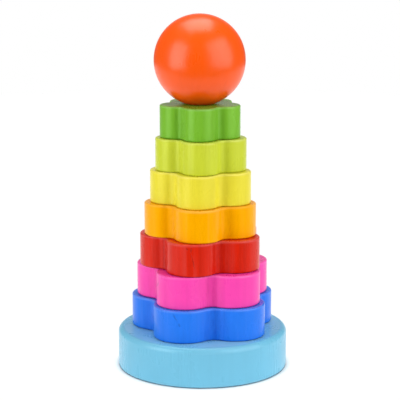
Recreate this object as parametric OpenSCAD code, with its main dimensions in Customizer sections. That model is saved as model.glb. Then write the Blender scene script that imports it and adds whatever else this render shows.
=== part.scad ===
// Flower ring stacking tower: a peg on a round base, seven flower-shaped rings and a ball.
// Millimetres, +Z up. The middle of the base's underside is the origin.

/* [Base] */
// Diameter of the base disc
base_d = 85.2; // [80:0.1:95]
// Thickness of the base disc
base_t = 20; // [18:0.5:24]
// Rounding of the base's top edge
base_top_round = 2.8; // [1:0.1:4]
// Rounding of the base's bottom edge
base_foot_round = 1; // [0.5:0.1:2]

/* [Rings] */
// Thickness of every ring
ring_t = 16.25; // [14:0.25:19]
// Distance across the petals of the smallest ring, as the circle drawn round them
smallest_d = 41.2; // [39:0.1:43]
// How much wider each ring is than the one above it
ring_step = 5.4; // [4.8:0.1:6]
// Petals on each ring
petals = 5; // [5:1:6]
// Petal radius as a share of the ring's radius
petal_share = 0.41; // [0.38:0.005:0.44]
// Radius of the valley between two petals as a share of the ring's radius
valley_share = 0.18; // [0.12:0.005:0.24]
// Diameter of the hole through each ring and into the ball
bore_d = 13; // [12.9:0.1:13.6]

/* [Peg] */
// Diameter of the peg
peg_d = 10; // [9:0.1:10]
// Length of the peg inside the base
peg_in_base = 14; // [10:0.5:15]
// Length of the peg inside the ball
peg_in_ball = 16; // [12:0.5:20]
// Rounding of the peg's top end
peg_round = 2; // [1:0.1:3]

/* [Ball] */
// Diameter of the ball
ball_d = 45.4; // [44.6:0.1:50]
// Width of the flat land round the ball's hole
ball_land = 0.5; // [0.2:0.1:1.5]
// Gap between the peg's end and the bottom of the ball's hole
ball_gap = 2; // [1:0.5:3.5]

/* [Screw] */
// Diameter of the screw's core
screw_d = 3; // [2.5:0.1:3.5]
// Diameter over the screw's thread
thread_d = 4; // [3.6:0.1:4.4]
// Distance from one turn of the thread to the next
thread_pitch = 1.8; // [1.5:0.1:2.4]
// Number of thread turns
thread_turns = 9; // [6:1:10]
// Diameter of the screw's countersunk head
head_d = 8; // [7:0.1:9]
// Depth of the screw's head below the base's underside
head_sunk = 0.8; // [0.4:0.1:1.5]

/* [Hidden] */
$fn = 96;
OVER = 1;
// Overlap that lets two round faces cross cleanly instead of only touching
BITE = 0.02;
// Air above each ring, so that stacked faces never overlap
AIR = 0.01;

// How each ring sits on the loose peg, from the lowest up: direction of one petal in
// degrees, then how far the ring has slid sideways
BLUE = [-117.5, 0.87];
PINK = [-118.5, 0.77];
RED = [-105.8, 0.1];
ORANGE = [-94.9, -0.7];
YELLOW = [-97.8, -0.38];
LIME = [-91.7, -0.68];
GREEN = [-91.7, -1.08];
ball_slip = -1.38;

ring_count = 7;
stack_top = base_t + ring_count * ring_t;
ball_r = ball_d / 2;
land_r = bore_d / 2 + ball_land;
ball_rise = sqrt(pow(ball_r, 2) - pow(land_r, 2));
socket_z = base_t - peg_in_base;
peg_top = stack_top + peg_in_ball;
head_h = (head_d - screw_d) / 2;
shank_gap = 0.4;
thread_z = head_sunk + head_h + 1;
thread_top = thread_z + thread_turns * thread_pitch;
screw_top = thread_top + screw_d;
slot_l = 4.4;
slot_w = 0.9;
slot_depth = 1.5;

function ring_z(level) = base_t + level * ring_t;
function ring_d(level) = smallest_d + (ring_count - 1 - level) * ring_step;

// Half outline of a disc with rounded edges, for turning
module disc_half(r, h, top_round, foot_round) {
  difference() {
    square([r, h]);
    translate([r - top_round, h - top_round]) difference() {
      square(2 * top_round);
      circle(top_round);
    }
    translate([r - foot_round, -foot_round]) difference() {
      square(2 * foot_round);
      translate([0, 2 * foot_round]) circle(foot_round);
    }
  }
}

// Outline of a ring: round petals joined by round valleys
module flower(d) {
  r = d / 2;
  petal_r = r * petal_share;
  valley_r = r * valley_share;
  reach = r - petal_r;
  half = 180 / petals;
  across = reach * sin(half);
  valley_at = reach * cos(half) + sqrt(pow(petal_r + valley_r, 2) - pow(across, 2));
  difference() {
    union() {
      polygon([for (i = [0 : 2 * petals - 1])
        (i % 2 == 0 ? reach : valley_at) * [cos(half * i), sin(half * i)]]);
      for (i = [0 : petals - 1]) rotate(2 * half * i) translate([reach, 0]) circle(petal_r);
    }
    for (i = [0 : petals - 1]) rotate(2 * half * i + half)
      translate([valley_at, 0]) circle(valley_r + BITE);
  }
}

// One ring in its seat on the stack, where level 0 is the lowest
module ring(seat, level) {
  translate([seat[1], 0, ring_z(level)]) rotate(seat[0])
    linear_extrude(ring_t - AIR) difference() {
      flower(ring_d(level));
      circle(d = bore_d);
    }
}

// Wood screw standing on its head, with ridges for its thread
module screw_half() {
  core = screw_d / 2;
  polygon([[0, head_sunk], [head_d / 2, head_sunk], [core, head_sunk + head_h],
           [core, thread_top], [0, screw_top]]);
  for (i = [0 : thread_turns - 1]) translate([core, thread_z + i * thread_pitch])
    polygon([[-core / 2, 0], [0, 0], [(thread_d - screw_d) / 2, thread_pitch * 0.45],
             [0, thread_pitch * 0.7], [-core / 2, thread_pitch * 0.7]]);
}

module base_disc() {
  color([0.48, 0.78, 0.91]) difference() {
    rotate_extrude() disc_half(base_d / 2, base_t, base_top_round, base_foot_round);
    translate([0, 0, socket_z]) cylinder(d = peg_d, h = peg_in_base + OVER);
    translate([0, 0, -OVER]) cylinder(d = thread_d + shank_gap, h = socket_z + 2 * OVER);
    translate([0, 0, -OVER]) cylinder(d = head_d, h = head_sunk + OVER);
    translate([0, 0, head_sunk]) cylinder(d1 = head_d, d2 = screw_d, h = head_h);
  }
}

module peg() {
  color([0.85, 0.72, 0.53]) difference() {
    translate([0, 0, socket_z]) rotate_extrude() difference() {
      square([peg_d / 2, peg_top - socket_z]);
      translate([peg_d / 2 - peg_round, peg_top - socket_z - peg_round]) difference() {
        square(2 * peg_round);
        circle(peg_round);
      }
    }
    rotate_extrude() screw_half();
  }
}

module peg_screw() {
  color([0.72, 0.72, 0.72]) difference() {
    rotate_extrude() screw_half();
    for (turn = [0, 90]) rotate(turn) translate([-slot_l / 2, -slot_w / 2, head_sunk - OVER])
      cube([slot_l, slot_w, slot_depth + OVER]);
  }
}

module ring_blue() { color([0.2, 0.48, 0.94]) ring(BLUE, 0); }

module ring_pink() { color([0.98, 0.3, 0.68]) ring(PINK, 1); }

module ring_red() { color([0.84, 0.24, 0.16]) ring(RED, 2); }

module ring_orange() { color([0.99, 0.68, 0.03]) ring(ORANGE, 3); }

module ring_yellow() { color([0.93, 0.87, 0.27]) ring(YELLOW, 4); }

module ring_lime() { color([0.79, 0.84, 0.24]) ring(LIME, 5); }

module ring_green() { color([0.47, 0.73, 0.2]) ring(GREEN, 6); }

module ball() {
  hole = peg_in_ball + ball_gap;
  color([0.98, 0.39, 0.2]) translate([ball_slip, 0, stack_top]) difference() {
    translate([0, 0, ball_rise]) sphere(ball_r);
    translate([-ball_r, -ball_r, -ball_r]) cube([ball_d, ball_d, ball_r]);
    translate([0, 0, -OVER]) cylinder(d = bore_d, h = hole + OVER);
  }
}

base_disc();
peg();
peg_screw();
ring_blue();
ring_pink();
ring_red();
ring_orange();
ring_yellow();
ring_lime();
ring_green();
ball();
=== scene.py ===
"""Looks for the flower ring stacking tower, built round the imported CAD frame. Metres, +Z up."""

import math

import bpy
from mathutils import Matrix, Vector, noise


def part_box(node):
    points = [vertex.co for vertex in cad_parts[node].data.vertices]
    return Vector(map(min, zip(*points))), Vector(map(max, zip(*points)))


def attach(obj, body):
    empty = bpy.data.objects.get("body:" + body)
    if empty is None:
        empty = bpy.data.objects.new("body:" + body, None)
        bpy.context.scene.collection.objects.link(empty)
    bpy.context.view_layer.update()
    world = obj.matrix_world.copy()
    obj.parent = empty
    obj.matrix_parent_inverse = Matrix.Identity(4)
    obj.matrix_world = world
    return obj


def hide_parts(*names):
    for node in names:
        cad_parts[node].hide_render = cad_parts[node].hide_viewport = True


MM = 0.001

# Rings from the lowest up. turn: direction of one petal, in degrees. paint: linear colour. Then how
# strongly the valleys and the foot are darkened, which is painted shade with some streaky marks in it.
# streaks: how strongly grain shows. tint: how far the gloss takes on the paint's colour.
RINGS = {
    "ring_blue": dict(turn=-117.5, paint=(0.015, 0.178, 0.80), grime_and_shade=1.0, streaks=1.0, tint=0.75),
    "ring_pink": dict(turn=-118.5, paint=(0.895, 0.057, 0.40), grime_and_shade=0.8, streaks=0.8, tint=0.6),
    "ring_red": dict(turn=-105.8, paint=(0.645, 0.015, 0.002), grime_and_shade=1.1, streaks=1.9, tint=0.75),
    "ring_orange": dict(turn=-94.9, paint=(0.94, 0.40, 0.0003), grime_and_shade=0.6, streaks=0.8, tint=1.0),
    "ring_yellow": dict(turn=-97.8, paint=(0.81, 0.71, 0.042), grime_and_shade=0.35, streaks=0.6, tint=0.7),
    "ring_lime": dict(turn=-91.7, paint=(0.59, 0.665, 0.039), grime_and_shade=0.45, streaks=0.7, tint=0.7),
    "ring_green": dict(turn=-91.7, paint=(0.19, 0.485, 0.029), grime_and_shade=0.8, streaks=1.0, tint=0.7),
}
BASE_PAINT = (0.152, 0.475, 0.66)
BALL_PAINT = (1.0, 0.1, 0.0003)
# The redder, darker colour of the ball's foot, where it sits on the green ring: painted shade
BALL_FOOT_SHADE = (1.0, 0.02, 0.0)

# Small scratches in the paint: middle, lean in degrees, and half sizes, in millimetres
SCRATCHES = {
    "ring_blue": [((-13.3, -34.0, 33.2), -32.0, (0.35, 6.0, 2.6)),
                  ((-11.3, -35.0, 29.6), -20.0, (0.4, 6.0, 1.2))],
    "ring_pink": [((-22.0, -22.0, 47.0), 20.0, (0.35, 8.0, 2.2))],
    "ring_red": [((-5.6, -31.0, 66.2), 8.0, (0.3, 6.0, 1.4)),
                 ((-7.6, -31.0, 66.8), -30.0, (0.3, 6.0, 1.0)),
                 ((-4.6, -31.0, 60.5), -12.0, (0.3, 6.0, 4.5))],
}

# The rings' outline and edges, in millimetres where they aren't shares of the ring's radius
PETALS = 5
PETAL_SHARE = 0.41
VALLEY_SHARE = 0.18
BORE_R = 6.5
RING_EDGE = 0.75
BORE_EDGE = 0.6

# Where the points on a ring's flat faces lie, as shares of the way from the rim to the bore
FACE_STEPS = (0.03, 0.1, 0.25, 0.5, 0.75, 0.92, 0.98)

# Share of a petal's half arc that stays clear of the valley's darkening: painted shade with streaky
# marks
PETAL_UNSHADED = 0.72

# How far the lighter top rim, wear and a painted highlight, reaches down, and the painted shade up
# from a ring's foot, counted in RING_EDGE
WORN_AND_LIT_REACH = 1.6
FOOT_SHADE_REACH = 1.1

# How far the hand-turned walls wander, and how fast they do so for each millimetre along them
RING_WAVE = 0.09
RING_WAVE_RATE = 0.07
RING_WAVE_RISE = 0.25
BASE_WAVE = 0.08
LATHE_WAVE_RATE = 0.05

# The peg, the base and the ball, in millimetres. An _EDGE is a rounding. The ball's foot is darkened
# with painted shade up to the height given here. The base's top edge is lighter by wear and a painted
# highlight, and its top face by painted light, counted so that a ring's top rim has 1.
PEG_R = 5.0
PEG_END = 2.0
SOCKET_Z = 6.0
BASE_TOP_EDGE = 2.8
BASE_FOOT_EDGE = 1.0
BASE_EDGE_WEAR_AND_HIGHLIGHT = 0.25
BASE_TOP_PAINTED_LIGHT = 1.4
BALL_LAND = 0.5
BALL_GAP = 2.0
BALL_ROOF_EDGE = 0.3
BALL_MOUTH_EDGE = 0.25
BALL_FOOT_SHADE_H = 5.5

# Rounding of the socket's mouth, bevel round the screw's hole, and distance from a rounded edge to
# the next points on the flat beside it
SOCKET_LIP = 0.3
SINK_BEVEL = 0.15
BESIDE_EDGE = 0.3

# The screw's outline, which the peg and the base are cut to, and the pointed end of its pilot hole
SCREW_HEAD_R = 4.0
SCREW_CORE_R = 1.5
SCREW_SUNK = 0.8
SCREW_HEAD_H = 2.5
SHANK_HOLE_R = 2.2
PILOT_TOP = 23.5
PILOT_TIP = 3.0

# The paint's patterns, in noise cells per metre
CLOUDS = 55.0
BROAD_BUMPS = 140.0
BANDS = 300.0
CHATTER = 800.0
FINE_BUMPS = 900.0
GRAIN = 1100.0
PORES = 2600.0

# Camera: place in metres, downward pitch in degrees, lens and sensor in millimetres
CAMERA_AT = (-0.00122, -0.7778, 0.2492)
CAMERA_PITCH = 11.935
CAMERA_LENS = 142.7
SENSOR = 36.0

# Brightness of the room and of the backdrop behind the tower, and the share of the backdrop that
# the gloss picks up
ROOM = 0.1
BACKDROP = 1.0
MIRRORED = 0.5

# Where the backdrop starts and where it is full, as how far a direction points straight back
BACKDROP_START = 0.9
BACKDROP_FULL = 0.97

# The floor: the strength of its own light, its radius and its middle
FLOOR_LIGHT = 3.25
FLOOR_R = 0.6
FLOOR_MIDDLE = (0.0, 0.4)

# Soft lights: bearing from the front (+ to the right) and elevation in degrees, width, height,
# radiance. They face PANEL_AIM from PANEL_AWAY metres off.
PANELS = {
    "left_panel": (-58, 13, 0.75, 1.05, 3.85),
    "right_panel": (58, 19, 1.05, 1.15, 3.05),
    "top_panel": (188, 75, 0.8, 0.8, 4.1),
}
PANEL_AIM = (0.0, 0.0, 0.15)
PANEL_AWAY = 1.0

# Colour sockets of a Mix node
MIX_A = 6
MIX_B = 7
MIX_RESULT = 2


# ---------------------------------------------------------------- shapes

def arc(centre, radius, start, end, steps):
    """Points on an arc, both ends included, in (x, y) pairs."""
    return [(centre[0] + radius * math.cos(start + (end - start) * i / steps),
             centre[1] + radius * math.sin(start + (end - start) * i / steps))
            for i in range(steps + 1)]


def flower(radius, turn, inset, petal_steps=44, valley_steps=22):
    """A ring's outline, moved in by inset: (x, y, share of valley) for each point, in mm."""
    petal_r = radius * PETAL_SHARE
    valley_r = radius * VALLEY_SHARE
    reach = radius - petal_r
    half = math.pi / PETALS
    along, across = reach * math.cos(half), reach * math.sin(half)
    valley_at = along + math.sqrt((petal_r + valley_r) ** 2 - across ** 2)
    valley = (valley_at * math.cos(half), valley_at * math.sin(half))
    meet = math.atan2(valley[1], valley[0] - reach)
    petal = arc((reach, 0), petal_r - inset, -meet, meet, petal_steps)
    hollow = arc(valley, valley_r + inset, math.pi + meet, math.pi + 2 * half - meet, valley_steps)
    one = [(x, y, 0.5 * smooth((abs(2 * i / petal_steps - 1) - PETAL_UNSHADED) / (1 - PETAL_UNSHADED)))
           for i, (x, y) in enumerate(petal)]
    one += [(x, y, 0.5 + 0.5 * smooth(1 - abs(2 * i / valley_steps - 1)))
            for i, (x, y) in enumerate(hollow)][1:-1]
    points = []
    for k in range(PETALS):
        angle = math.radians(turn) + 2 * half * k
        c, s = math.cos(angle), math.sin(angle)
        points += [(c * x - s * y, s * x + c * y, d) for x, y, d in one]
    return points


def smooth(t):
    """An S-curve from 0 to 1, flat at both ends and beyond them."""
    t = min(max(t, 0.0), 1.0)
    return t * t * (3 - 2 * t)


def spread(low, high, count):
    """Evenly spaced numbers, both ends included."""
    return [low + (high - low) * i / (count - 1) for i in range(count)]


def mesh_object(name, verts, faces, marks):
    """A smooth mesh in metres from millimetre points. marks holds one number list per attribute."""
    mesh = bpy.data.meshes.new(name)
    mesh.from_pydata([tuple(c * MM for c in v) for v in verts], [], faces)
    mesh.validate()
    for key, values in marks.items():
        mesh.attributes.new(key, "FLOAT", "POINT").data.foreach_set("value", values)
    mesh.polygons.foreach_set("use_smooth", [True] * len(mesh.polygons))
    mesh.update()
    piece = bpy.data.objects.new(name, mesh)
    bpy.context.scene.collection.objects.link(piece)
    weighted = piece.modifiers.new("even_normals", "WEIGHTED_NORMAL")
    weighted.keep_sharp = True
    return piece


def skin(rows):
    """Quads between rows of equally many points. Each row is a loop, and the last joins the first."""
    count = len(rows[0])
    faces = []
    for a in range(len(rows)):
        b = (a + 1) % len(rows)
        for i in range(count):
            j = (i + 1) % count
            faces.append((a * count + i, a * count + j, b * count + j, b * count + i))
    return faces


def rim_wear_and_painted_light(above_foot, below_top):
    """How much lighter a ring's wall is near its top rim, from 0 to 1, by wear and a painted highlight;
    below 0, how much painted shade darkens it near its foot.
    """
    if below_top < above_foot:
        return smooth(WORN_AND_LIT_REACH - below_top / RING_EDGE)
    return -smooth(FOOT_SHADE_REACH - above_foot / RING_EDGE)


def millimetres(node):
    """A CAD node's lowest and highest corners in millimetres."""
    return [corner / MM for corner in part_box(node)]


def seat(node, turn):
    """A ring's radius and its sideways slip on the peg, worked out from its box in the frame."""
    low, high = millimetres(node)
    angles = [math.radians(turn) + 2 * math.pi * k / PETALS for k in range(PETALS)]
    xs = [(1 - PETAL_SHARE) * math.cos(a) for a in angles]
    ys = [(1 - PETAL_SHARE) * math.sin(a) for a in angles]
    radius = (high.y - low.y) / (max(ys) - min(ys) + 2 * PETAL_SHARE)
    return radius, (low.x + high.x - radius * (min(xs) + max(xs))) / 2


def ring(name):
    """One flower ring: a closed skin round the wall, the faces and the bore, all edges rounded."""
    look = RINGS[name]
    turn = look["turn"]
    radius, slip = seat(name, turn)
    low, high = (corner.z for corner in millimetres(name))
    bends = spread(0.0, math.pi / 2, 8)
    # Each row: how far in from the outline, share of the way to the bore, height. In the bore: None,
    # how far out from its wall, height
    rows = [(0.0, 0.0, z) for z in spread(low + RING_EDGE, high - RING_EDGE, 26)]
    rows += [(RING_EDGE * (1 - math.cos(b)), 0.0, high - RING_EDGE * (1 - math.sin(b)))
             for b in bends[1:]]
    rows += [(RING_EDGE, t, high) for t in FACE_STEPS]
    rows += [(None, BORE_EDGE * (1 - math.sin(b)), high - BORE_EDGE * (1 - math.cos(b)))
             for b in bends]
    rows += [(None, 0.0, z) for z in spread(high - BORE_EDGE, low + BORE_EDGE, 10)[1:-1]]
    rows += [(None, BORE_EDGE * (1 - math.cos(b)), low + BORE_EDGE * (1 - math.sin(b)))
             for b in bends]
    rows += [(RING_EDGE, t, low) for t in reversed(FACE_STEPS)]
    rows += [(RING_EDGE * (1 - math.sin(b)), 0.0, low + RING_EDGE * (1 - math.cos(b)))
             for b in bends[:-1]]
    rim = BORE_R + BORE_EDGE
    verts, loops = [], []
    marks = {"valley": [], "wear_and_painted_light": []}
    for inset, share, z in rows:
        loop = []
        for x, y, depth in flower(radius, turn, RING_EDGE if inset is None else inset):
            far = math.hypot(x, y)
            if inset is None:
                reach = BORE_R + share
                x, y = x / far * reach, y / far * reach
            else:
                at = Vector((x, y, z * RING_WAVE_RISE)) * RING_WAVE_RATE + Vector((radius, 0, 0))
                wave = RING_WAVE * noise.noise(at)
                k = (far + (rim - far) * share + wave * (1 - share)) / far
                x, y = x * k, y * k
            loop.append((x + slip, y, z))
            on_wall = inset is not None and share == 0.0
            marks["valley"].append(depth if on_wall else 0.0)
            marks["wear_and_painted_light"].append(rim_wear_and_painted_light(z - low, high - z) if on_wall else 0.0)
        loops.append(loop)
        verts += loop
    piece = mesh_object("flower_" + name, verts, skin(loops), marks)
    paint = painted_wood(name + "_paint", look["paint"], radius, tint=look["tint"],
                         streaks=look["streaks"], grime_and_shade=look["grime_and_shade"],
                         scratches=SCRATCHES.get(name, ()))
    piece.data.materials.append(paint)
    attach(piece, name)
    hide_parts(name)


def lathe(name, outline, steps=256, centre=(0.0, 0.0), closed=False, wave=0.0):
    """Turns (radius, height, mark) points about the upright axis. A mark above 0 makes the paint
    lighter, by wear, a painted highlight or painted light; below 0 it darkens it with painted shade. A
    radius of 0 is a pole.
    """
    verts, faces, wear_and_painted_light, rows = [], [], [], []
    for r, z, mark in outline:
        start = len(verts)
        if r == 0.0:
            verts.append((centre[0], centre[1], z))
            wear_and_painted_light.append(mark)
            rows.append([start])
            continue
        for i in range(steps):
            angle = 2 * math.pi * i / steps
            x, y = r * math.cos(angle), r * math.sin(angle)
            k = 1 + wave * noise.noise(Vector((x, y, z)) * LATHE_WAVE_RATE) / r
            verts.append((centre[0] + x * k, centre[1] + y * k, z))
            wear_and_painted_light.append(mark)
        rows.append(list(range(start, start + steps)))
    for a, b in zip(rows, rows[1:] + rows[:1] if closed else rows[1:]):
        for i in range(steps):
            j = (i + 1) % steps
            if len(a) == 1:
                faces.append((a[0], b[j], b[i]))
            elif len(b) == 1:
                faces.append((a[i], a[j], b[0]))
            else:
                faces.append((a[i], a[j], b[j], b[i]))
    return mesh_object(name, verts, faces, {"wear_and_painted_light": wear_and_painted_light})


def bend(centre, radius, start, end, steps, mark=0.0):
    """A rounded edge in a lathe outline; angles in degrees."""
    return [(r, z, mark) for r, z in
            arc(centre, radius, math.radians(start), math.radians(end), steps)]


def base_disc():
    """The base: underside, wall and top, then down the peg's socket and the screw's hole."""
    low, high = millimetres("base_disc")
    r = (high.x - low.x) / 2
    top = high.z
    foot_r = r - BASE_FOOT_EDGE
    top_r = r - BASE_TOP_EDGE
    cone = SCREW_SUNK + SCREW_HEAD_H - (SHANK_HOLE_R - SCREW_CORE_R)
    outline = [(x, 0.0, 0.0) for x in spread(SCREW_HEAD_R + SINK_BEVEL, foot_r - BESIDE_EDGE, 12)]
    outline += bend((foot_r, BASE_FOOT_EDGE), BASE_FOOT_EDGE, -90, 0, 8, 1.0)
    wall = spread(BASE_FOOT_EDGE + BESIDE_EDGE, top - BASE_TOP_EDGE - BESIDE_EDGE, 18)
    outline += [(r, z, 0.0) for z in wall]
    # The top edge is a little lighter: wear and a painted highlight
    outline += bend((top_r, top - BASE_TOP_EDGE), BASE_TOP_EDGE, 0, 90, 14, BASE_EDGE_WEAR_AND_HIGHLIGHT)
    flat = spread(top_r - BESIDE_EDGE, PEG_R + 2 * SOCKET_LIP, 16)
    # The top face is lighter: painted light
    outline += [(x, top, BASE_TOP_PAINTED_LIGHT) for x in flat]
    outline += bend((PEG_R + SOCKET_LIP, top - SOCKET_LIP), SOCKET_LIP, 90, 180, 4)
    outline += [(PEG_R, z, 0.0) for z in spread(top - 2 * SOCKET_LIP, SOCKET_Z, 6)]
    outline += [(SHANK_HOLE_R, z, 0.0) for z in spread(SOCKET_Z, cone, 4)]
    outline += [(SCREW_HEAD_R, SCREW_SUNK, 0.0), (SCREW_HEAD_R, SINK_BEVEL, 0.0)]
    piece = lathe("round_base", outline, steps=320, closed=True, wave=BASE_WAVE)
    piece.data.materials.append(painted_wood("base_paint", BASE_PAINT, 3.0, streaks=0.3))
    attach(piece, "base")
    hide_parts("base_disc")


def peg():
    """The peg: up the screw's hole, then the outside from the socket to the rounded top."""
    top = millimetres("peg")[1].z
    outline = [(0.0, PILOT_TOP, 0.0)]
    outline += [(SCREW_CORE_R, z, 0.0) for z in spread(PILOT_TOP - PILOT_TIP, SOCKET_Z, 5)]
    outline += [(PEG_R, z, 0.0) for z in spread(SOCKET_Z, top - PEG_END, 60)]
    outline += bend((PEG_R - PEG_END, top - PEG_END), PEG_END, 0, 90, 10, 1.0)[1:]
    outline += [((PEG_R - PEG_END) / 2, top, 0.0), (0.0, top, 0.0)]
    piece = lathe("turned_peg", outline, steps=96)
    piece.data.materials.append(bare_wood("peg_wood"))
    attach(piece, "base")
    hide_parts("peg")


def ball():
    """The ball: the roof and wall of its blind hole, then its outside up to the top."""
    low, high = millimetres("ball")
    middle = (low + high) / 2
    r = (high.x - low.x) / 2
    land = BORE_R + BALL_LAND
    rise = math.sqrt(r ** 2 - land ** 2)
    roof = millimetres("peg")[1].z + BALL_GAP
    start = -math.degrees(math.acos(land / r))
    outline = [(0.0, roof, 0.0), (BORE_R - 2 * BALL_ROOF_EDGE, roof, 0.0)]
    outline += bend((BORE_R - BALL_ROOF_EDGE, roof - BALL_ROOF_EDGE), BALL_ROOF_EDGE, 90, 0, 4)
    hole = spread(roof - 2 * BALL_ROOF_EDGE, low.z + 2 * BALL_MOUTH_EDGE, 10)
    outline += [(BORE_R, z, 0.0) for z in hole]
    outline += bend((BORE_R + BALL_MOUTH_EDGE, low.z + BALL_MOUTH_EDGE), BALL_MOUTH_EDGE, 180, 270, 5)
    # A mark below 0 darkens the ball's foot: painted shade
    outline += [(x, z, -smooth((low.z + BALL_FOOT_SHADE_H - z) / BALL_FOOT_SHADE_H)) for x, z, _ in
                bend((0.0, low.z + rise), r, start, 90, 150)[:-1]]
    outline += [(0.0, low.z + rise + r, 0.0)]
    piece = lathe("top_ball", outline, steps=240, centre=(middle.x, 0.0))
    piece.data.materials.append(painted_wood("ball_paint", BALL_PAINT, 8.0, gloss=0.29, tint=0.35,
                                             streaks=0.5, foot=BALL_FOOT_SHADE, shine=0.62))
    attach(piece, "ball")
    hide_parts("ball")


# ------------------------------------------------------------- materials

def material(name):
    """A bare node material, its Principled shader, and helpers that add nodes and link to it."""
    mat = bpy.data.materials.new(name)
    mat.use_nodes = True
    tree = mat.node_tree
    tree.nodes.clear()
    output = tree.nodes.new("ShaderNodeOutputMaterial")
    shader = tree.nodes.new("ShaderNodeBsdfPrincipled")
    tree.links.new(shader.outputs["BSDF"], output.inputs["Surface"])

    def add(kind, inputs=(), **settings):
        """A shader node with its settings made and its inputs set or linked."""
        node = tree.nodes.new("ShaderNode" + kind)
        for key, value in settings.items():
            setattr(node, key, value)
        for key, value in dict(inputs).items():
            if isinstance(value, bpy.types.NodeSocket):
                tree.links.new(value, node.inputs[key])
            else:
                node.inputs[key].default_value = value
        return node

    def link(source, key):
        """Feeds a socket of the Principled shader."""
        tree.links.new(source, shader.inputs[key])

    return mat, shader, add, link


def placed(add, shift, stretch=(1.0, 1.0, 1.0)):
    """The piece's own coordinates, shifted so that no two pieces share a pattern."""
    coords = add("TexCoord").outputs["Object"]
    return add("Mapping", {"Vector": coords, "Location": shift, "Scale": stretch}).outputs["Vector"]


def speckle(add, vector, scale, detail=2.0, rough=0.5):
    """Noise between 0 and 1."""
    return add("TexNoise", {"Vector": vector, "Scale": scale, "Detail": detail,
                            "Roughness": rough}).outputs["Fac"]


def ranged(add, value, low, high, to_low=0.0, to_high=1.0):
    """The value, moved from one range to another and held there."""
    return add("MapRange", {"Value": value, "From Min": low, "From Max": high,
                            "To Min": to_low, "To Max": to_high}).outputs["Result"]


def math_node(add, operation, a, b):
    """One sum on two numbers or sockets."""
    return add("Math", {0: a, 1: b}, operation=operation).outputs["Value"]


def mixed(add, factor, a, b):
    """Colour a, or b where the factor is 1. Each is a socket or three numbers."""
    node = add("Mix", {"Factor": factor}, data_type="RGBA")
    for socket, value in ((node.inputs[MIX_A], a), (node.inputs[MIX_B], b)):
        if isinstance(value, bpy.types.NodeSocket):
            node.id_data.links.new(value, socket)
        else:
            socket.default_value = (*value, 1.0)
    return node.outputs[MIX_RESULT]


def bumped(add, height, distance, normal=None):
    """A normal bumped by height times distance in metres, on top of an earlier one if given."""
    inputs = {"Height": height, "Distance": distance, "Strength": 1.0}
    if normal is not None:
        inputs["Normal"] = normal
    return add("Bump", inputs).outputs["Normal"]


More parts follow.
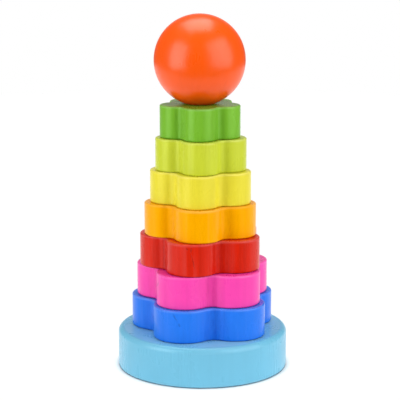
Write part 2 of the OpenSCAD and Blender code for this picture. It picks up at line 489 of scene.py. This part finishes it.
def painted_wood(name, colour, seed, gloss=0.27, tint=0.5, streaks=1.0, grime_and_shade=1.0, foot=None,
                 shine=0.5, scratches=()):
    """Satin paint on wood: upright grain showing through, valleys darkened with painted shade and
    streaky marks, top rims lighter by wear and a painted highlight, feet darkened with painted shade.
    """
    mat, shader, add, link = material(name)
    shift = (0.131 * seed, 0.077 * seed, 0.0)
    even = placed(add, shift)
    upright = placed(add, shift, (1.0, 1.0, 0.05))
    short = placed(add, shift, (1.0, 1.0, 0.3))
    wear_and_painted_light = add("Attribute", attribute_name="wear_and_painted_light").outputs["Fac"]
    valley = add("Attribute", attribute_name="valley").outputs["Fac"]

    cloud = speckle(add, even, CLOUDS, 3.0)
    band = speckle(add, upright, BANDS, 3.0, 0.55)
    grain = ranged(add, speckle(add, upright, GRAIN, 4.0, 0.6), 0.5, 0.78)
    pores = ranged(add, speckle(add, upright, PORES), 0.66, 0.8)
    chatter = ranged(add, speckle(add, short, CHATTER, 3.0, 0.6), 0.42, 0.68)

    dark = tuple(c * 0.6 for c in colour)
    deep = tuple(c * 0.55 * (c / max(colour)) ** 0.5 for c in colour)
    light = tuple(min(1.0, c * 0.85 + 0.16) for c in colour)
    # The colour a foot is darkened to: painted shade
    shaded_foot = foot or tuple(0.35 * c * (c / max(colour)) ** 0.5 for c in colour)
    # Clouds, dark and light bands, grain and pores, one over the other
    tone = mixed(add, ranged(add, cloud, 0.35, 0.7, 0.0, 0.12), colour, dark)
    tone = mixed(add, ranged(add, band, 0.5, 0.72, 0.0, 0.22 * streaks), tone, dark)
    tone = mixed(add, ranged(add, band, 0.48, 0.3, 0.0, 0.06 * streaks), tone, light)
    tone = mixed(add, math_node(add, "MULTIPLY", grain, 0.12 * streaks), tone, dark)
    tone = mixed(add, math_node(add, "MULTIPLY", pores, 0.10), tone, dark)
    # Darker valleys, which is painted shade broken into streaky marks, top rims lighter by wear and a
    # painted highlight, and feet darkened with painted shade
    valley_shade_and_streaks = math_node(add, "MULTIPLY", ranged(add, band, 0.4, 0.62, 0.5, 1.0),
                       math_node(add, "ADD", math_node(add, "MULTIPLY", chatter, 0.35), 0.4))
    valley_shade_and_streaks = math_node(add, "MULTIPLY", valley_shade_and_streaks, 1.25 * (grime_and_shade - 0.3))
    tone = mixed(add, math_node(add, "MULTIPLY", valley, valley_shade_and_streaks), tone, deep)
    # Top rims and the base's top lighter: wear, a painted highlight and painted light
    worn_and_lit = math_node(add, "MULTIPLY", math_node(add, "MAXIMUM", wear_and_painted_light, 0.0),
                     ranged(add, cloud, 0.3, 0.65, 0.15, 0.5))
    tone = mixed(add, worn_and_lit, tone, light)
    # Feet darker: painted shade
    low = math_node(add, "MULTIPLY", math_node(add, "MINIMUM", wear_and_painted_light, 0.0), -0.75 * grime_and_shade)
    tone = mixed(add, low, tone, shaded_foot)

    # Grain, pores and scratches go into the surface as well as darken it
    relief = math_node(add, "ADD", math_node(add, "MULTIPLY", grain, -0.6),
                       math_node(add, "MULTIPLY", pores, -0.4))
    for place, lean, size in scratches:
        hollow = scratch(add, place, lean, size)
        tone = mixed(add, math_node(add, "MULTIPLY", hollow, 0.7), tone, dark)
        relief = math_node(add, "SUBTRACT", relief, math_node(add, "MULTIPLY", hollow, 11.0))
    link(tone, "Base Color")
    rough = math_node(add, "ADD", ranged(add, cloud, 0.3, 0.7, gloss - 0.03, gloss + 0.05),
                      math_node(add, "MULTIPLY", grain, 0.05))
    link(rough, "Roughness")
    normal = bumped(add, relief, 0.00001 * streaks)
    normal = bumped(add, speckle(add, even, FINE_BUMPS), 0.000008, normal)
    link(bumped(add, speckle(add, even, BROAD_BUMPS), 0.0001, normal), "Normal")
    sheen = [1 - tint * (1 - c / max(colour)) for c in colour]
    shader.inputs["Specular IOR Level"].default_value = shine
    shader.inputs["Specular Tint"].default_value = (*sheen, 1.0)
    return mat


def scratch(add, place, lean, size):
    """A mask for one scratch: 1 in its middle, 0 outside. place and size are in millimetres."""
    ragged = 0.8
    coords = add("TexCoord").outputs["Object"]
    shake = add("TexNoise", {"Vector": coords, "Scale": 1500.0, "Detail": 2.0}).outputs["Color"]
    pushed = add("VectorMath", {0: shake, 1: (ragged * MM,) * 3, 2: coords},
                 operation="MULTIPLY_ADD").outputs["Vector"]
    local = add("Mapping", {"Vector": pushed, "Location": tuple((c + ragged / 2) * MM for c in place),
                            "Rotation": (0.0, math.radians(lean), 0.0),
                            "Scale": tuple(c * MM for c in size)}, vector_type="TEXTURE")
    away = add("VectorMath", {0: local.outputs["Vector"]}, operation="LENGTH").outputs["Value"]
    return ranged(add, away, 0.5, 1.0, 1.0, 0.0)


def bare_wood(name):
    """Sanded beech with fine upright grain and short dark flecks."""
    mat, shader, add, link = material(name)
    upright = placed(add, (0.3, 0.1, 0.0), (1.0, 1.0, 0.035))
    fleck_space = placed(add, (0.0, 0.4, 0.0), (1.0, 1.0, 0.14))
    bands = ranged(add, speckle(add, upright, 420.0, 4.0, 0.6), 0.35, 0.7)
    fibre = ranged(add, speckle(add, upright, 2400.0, 3.0, 0.6), 0.4, 0.75)
    flecks = ranged(add, speckle(add, fleck_space, 2000.0, 1.0), 0.68, 0.78)
    tone = mixed(add, bands, (0.66, 0.45, 0.25), (0.48, 0.29, 0.14))
    tone = mixed(add, math_node(add, "MULTIPLY", fibre, 0.3), tone, (0.74, 0.55, 0.34))
    tone = mixed(add, math_node(add, "MULTIPLY", flecks, 0.6), tone, (0.30, 0.16, 0.07))
    link(tone, "Base Color")
    link(ranged(add, fibre, 0.0, 1.0, 0.52, 0.66), "Roughness")
    link(bumped(add, math_node(add, "SUBTRACT", fibre, flecks), 0.00004), "Normal")
    return mat


def zinc(name):
    """Bright zinc plate with fine turning marks and a few dull spots."""
    mat, shader, add, link = material(name)
    even = placed(add, (0.2, 0.5, 0.0))
    rings = placed(add, (0.2, 0.5, 0.0), (0.2, 0.2, 6.0))
    spots = speckle(add, even, 700.0, 3.0)
    marks = speckle(add, rings, 1400.0, 2.0)
    link(mixed(add, spots, (0.72, 0.73, 0.74), (0.50, 0.51, 0.52)), "Base Color")
    link(ranged(add, spots, 0.3, 0.7, 0.24, 0.42), "Roughness")
    link(bumped(add, marks, 0.00002), "Normal")
    shader.inputs["Metallic"].default_value = 1.0
    return mat


# ----------------------------------------------------------------- studio

def pale_floor():
    """A pale matt disc, which starts a little in front of the tower and reaches well behind it."""
    mat, shader, add, link = material("pale_floor")
    grey = speckle(add, placed(add, (0.0, 0.0, 0.0)), 3.0, 2.0)
    link(mixed(add, grey, (0.90, 0.90, 0.90), (0.88, 0.88, 0.88)), "Base Color")
    shader.inputs["Roughness"].default_value = 0.7
    shader.inputs["Specular IOR Level"].default_value = 0.0
    mesh = bpy.data.meshes.new("floor")
    edge = arc(FLOOR_MIDDLE, FLOOR_R, 0.0, 2 * math.pi, 128)[:-1]
    mesh.from_pydata([(x, y, 0.0) for x, y in edge], [], [list(range(len(edge)))])
    mesh.materials.append(mat)
    plane = bpy.data.objects.new("floor", mesh)
    bpy.context.scene.collection.objects.link(plane)
    return plane


def lamp(name, data, location, way, floor, on_floor):
    """A light shining along way, unseen by the camera, that falls on the floor alone or on all else."""
    light = bpy.data.objects.new(name, data)
    light.location = location
    light.rotation_euler = Vector(way).to_track_quat("-Z", "Y").to_euler()
    light.visible_camera = False
    bpy.context.scene.collection.objects.link(light)
    reach = bpy.data.collections.new(name + "_reach")
    reach.objects.link(floor)
    reach.collection_objects[0].light_linking.link_state = "INCLUDE" if on_floor else "EXCLUDE"
    light.light_linking.receiver_collection = reach


def panel(name, floor, bearing, elevation, width, height, radiance):
    """A large soft light that faces the tower. The floor is left out of its light."""
    b, e = math.radians(bearing), math.radians(elevation)
    way = Vector((math.sin(b) * math.cos(e), -math.cos(b) * math.cos(e), math.sin(e)))
    data = bpy.data.lights.new(name, "AREA")
    data.shape = "RECTANGLE"
    data.size, data.size_y = width, height
    data.energy = radiance * width * height * math.pi
    lamp(name, data, Vector(PANEL_AIM) + PANEL_AWAY * way, -way, floor, False)


def floor_light(floor):
    """An even light from straight above that keeps the floor pale."""
    data = bpy.data.lights.new("floor_light", "SUN")
    data.energy = FLOOR_LIGHT
    data.angle = math.radians(20)
    lamp("floor_light", data, (0.0, 0.0, 3.0), (0.0, 0.0, -1.0), floor, True)


def surroundings():
    """A dim room with a pale backdrop behind the tower, which the camera sees all round."""
    world = bpy.data.worlds.new("room")
    bpy.context.scene.world = world
    world.use_nodes = True
    tree = world.node_tree
    way = tree.nodes.new("ShaderNodeSeparateXYZ")
    tree.links.new(tree.nodes.new("ShaderNodeTexCoord").outputs["Generated"], way.inputs["Vector"])
    fade = tree.nodes.new("ShaderNodeMapRange")
    fade.interpolation_type = "SMOOTHSTEP"
    fade.inputs["From Min"].default_value = BACKDROP_START
    fade.inputs["From Max"].default_value = BACKDROP_FULL
    fade.inputs["To Max"].default_value = MIRRORED
    tree.links.new(way.outputs["Y"], fade.inputs["Value"])
    most = tree.nodes.new("ShaderNodeMath")
    most.operation = "MAXIMUM"
    tree.links.new(fade.outputs["Result"], most.inputs[0])
    tree.links.new(tree.nodes.new("ShaderNodeLightPath").outputs["Is Camera Ray"], most.inputs[1])
    level = tree.nodes.new("ShaderNodeMapRange")
    level.inputs["To Min"].default_value = ROOM
    level.inputs["To Max"].default_value = BACKDROP
    tree.links.new(most.outputs["Value"], level.inputs["Value"])
    tree.links.new(level.outputs["Result"], tree.nodes["Background"].inputs["Strength"])
    tree.nodes["Background"].inputs["Color"].default_value = (1.0, 1.0, 1.0, 1.0)


def studio():
    """Floor, lights, room and camera."""
    floor = pale_floor()
    floor_light(floor)
    surroundings()
    for name, (bearing, elevation, width, height, radiance) in PANELS.items():
        panel(name, floor, bearing, elevation, width, height, radiance)
    scene = bpy.context.scene
    scene.view_settings.view_transform = "Standard"
    data = bpy.data.cameras.new("camera")
    data.lens = CAMERA_LENS
    data.sensor_width = SENSOR
    data.clip_end = 30.0
    camera = bpy.data.objects.new("camera", data)
    camera.location = CAMERA_AT
    camera.rotation_euler = (math.radians(90 - CAMERA_PITCH), 0.0, 0.0)
    scene.collection.objects.link(camera)
    scene.camera = camera


# ------------------------------------------------------------------ build

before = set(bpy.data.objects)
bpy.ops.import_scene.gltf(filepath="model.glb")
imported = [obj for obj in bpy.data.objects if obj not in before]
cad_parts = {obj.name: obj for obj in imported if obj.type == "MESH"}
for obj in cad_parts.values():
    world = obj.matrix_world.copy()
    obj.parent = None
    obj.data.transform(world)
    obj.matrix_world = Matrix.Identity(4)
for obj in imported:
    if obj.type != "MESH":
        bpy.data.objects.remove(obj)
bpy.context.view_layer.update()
studio()
base_disc()
peg()
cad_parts["peg_screw"].data.materials.clear()
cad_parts["peg_screw"].data.materials.append(zinc("screw_zinc"))
for ring_name in RINGS:
    ring(ring_name)
ball()
